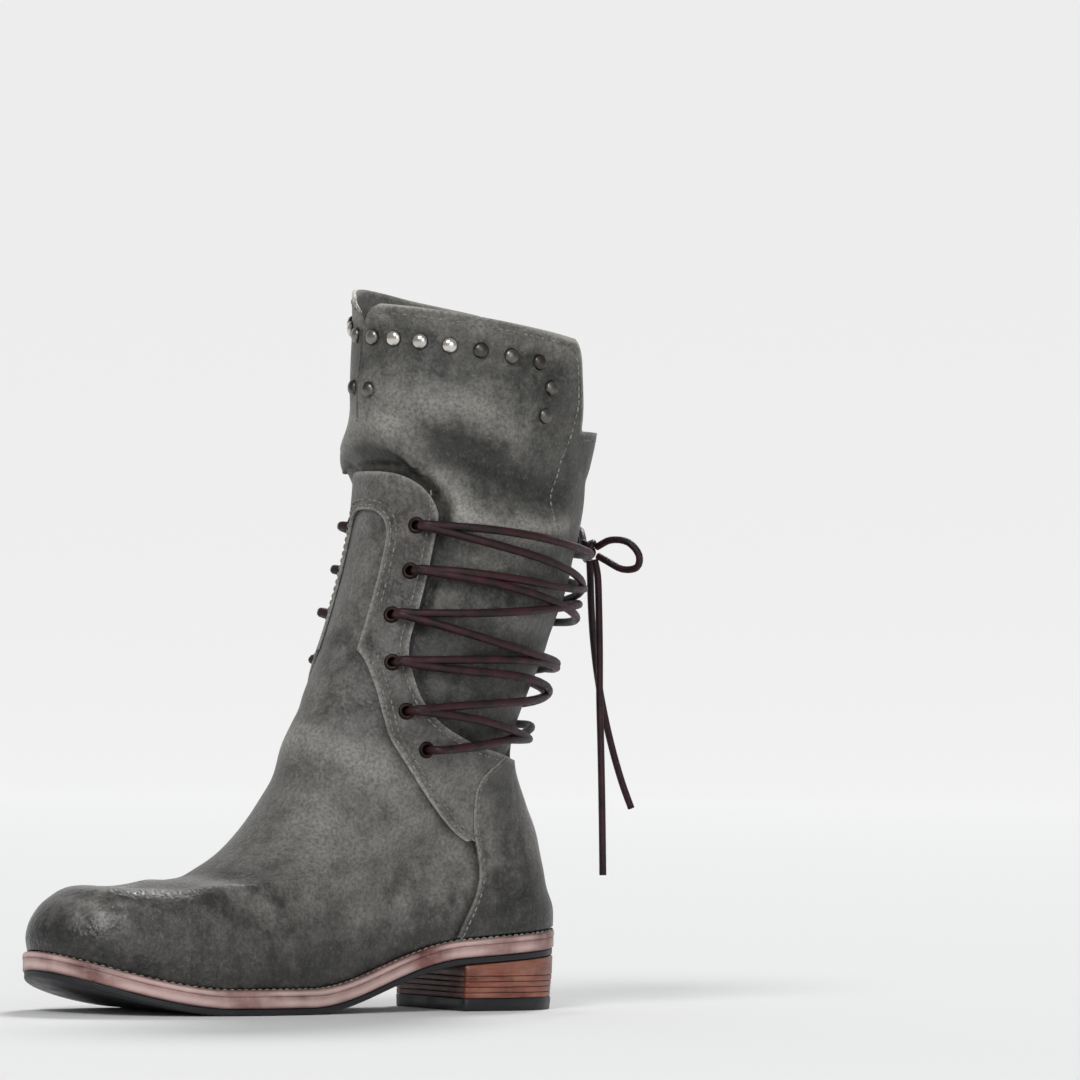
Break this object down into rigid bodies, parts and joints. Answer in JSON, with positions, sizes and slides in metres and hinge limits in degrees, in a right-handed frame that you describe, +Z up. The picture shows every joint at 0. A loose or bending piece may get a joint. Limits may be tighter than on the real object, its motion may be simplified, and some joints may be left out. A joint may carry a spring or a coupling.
{
  "type": "lace-back boot",
  "caption": "Mid-calf leather boot for the left foot, laced at the back, with a studded split collar and a low stacked heel.",
  "frame": {"origin": "middle of the heel's bottom face, on the floor", "axes": "+Z up, -X towards the toe, -Y towards the outer side of the foot"},
  "size_m": [0.3368, 0.1106, 0.3444],
  "materials": {
    "vamp_leather": "distressed, semi-matt",
    "shaft_leather": "distressed, semi-matt",
    "sole_leather": "worn edge",
    "heel_leather": "stacked, worn edge",
    "insole_leather": "plain",
    "lace": "waxed",
    "rubber": "matt",
    "metal": "aged"
  },
  "bodies": {
    "root": {"outsole": "rubber", "midsole": "sole_leather", "welt": "sole_leather", "insole": "insole_leather", "heel_top_lift": "rubber", "heel_lift_1": "heel_leather", "heel_lift_2": "heel_leather", "heel_seat_lift": "heel_leather", "upper": "vamp_leather", "counter": "vamp_leather", "facing": "vamp_leather", "shaft": "shaft_leather", "eyelet_lateral_1": "metal", "eyelet_lateral_2": "metal", "eyelet_lateral_3": "metal", "eyelet_lateral_4": "metal", "eyelet_lateral_5": "metal", "eyelet_lateral_6": "metal", "eyelet_medial_1": "metal", "eyelet_medial_2": "metal", "eyelet_medial_3": "metal", "eyelet_medial_4": "metal", "eyelet_medial_5": "metal", "eyelet_medial_6": "metal", "stud_lateral_1": "metal", "stud_lateral_2": "metal", "stud_lateral_3": "metal", "stud_lateral_4": "metal", "stud_lateral_5": "metal", "stud_lateral_6": "metal", "stud_lateral_7": "metal", "stud_lateral_8": "metal", "stud_lateral_9": "metal", "stud_lateral_10": "metal", "stud_medial_1": "metal", "stud_medial_2": "metal", "stud_medial_3": "metal", "stud_medial_4": "metal", "stud_medial_5": "metal", "stud_medial_6": "metal", "stud_medial_7": "metal", "stud_medial_8": "metal", "stud_medial_9": "metal", "stud_medial_10": "metal", "lace_crossings": "lace", "lace_knot": "lace", "lace_loop_lateral": "lace", "lace_loop_medial": "lace", "lace_end_lateral": "lace", "lace_end_medial": "lace"}
  },
  "joints": []
}
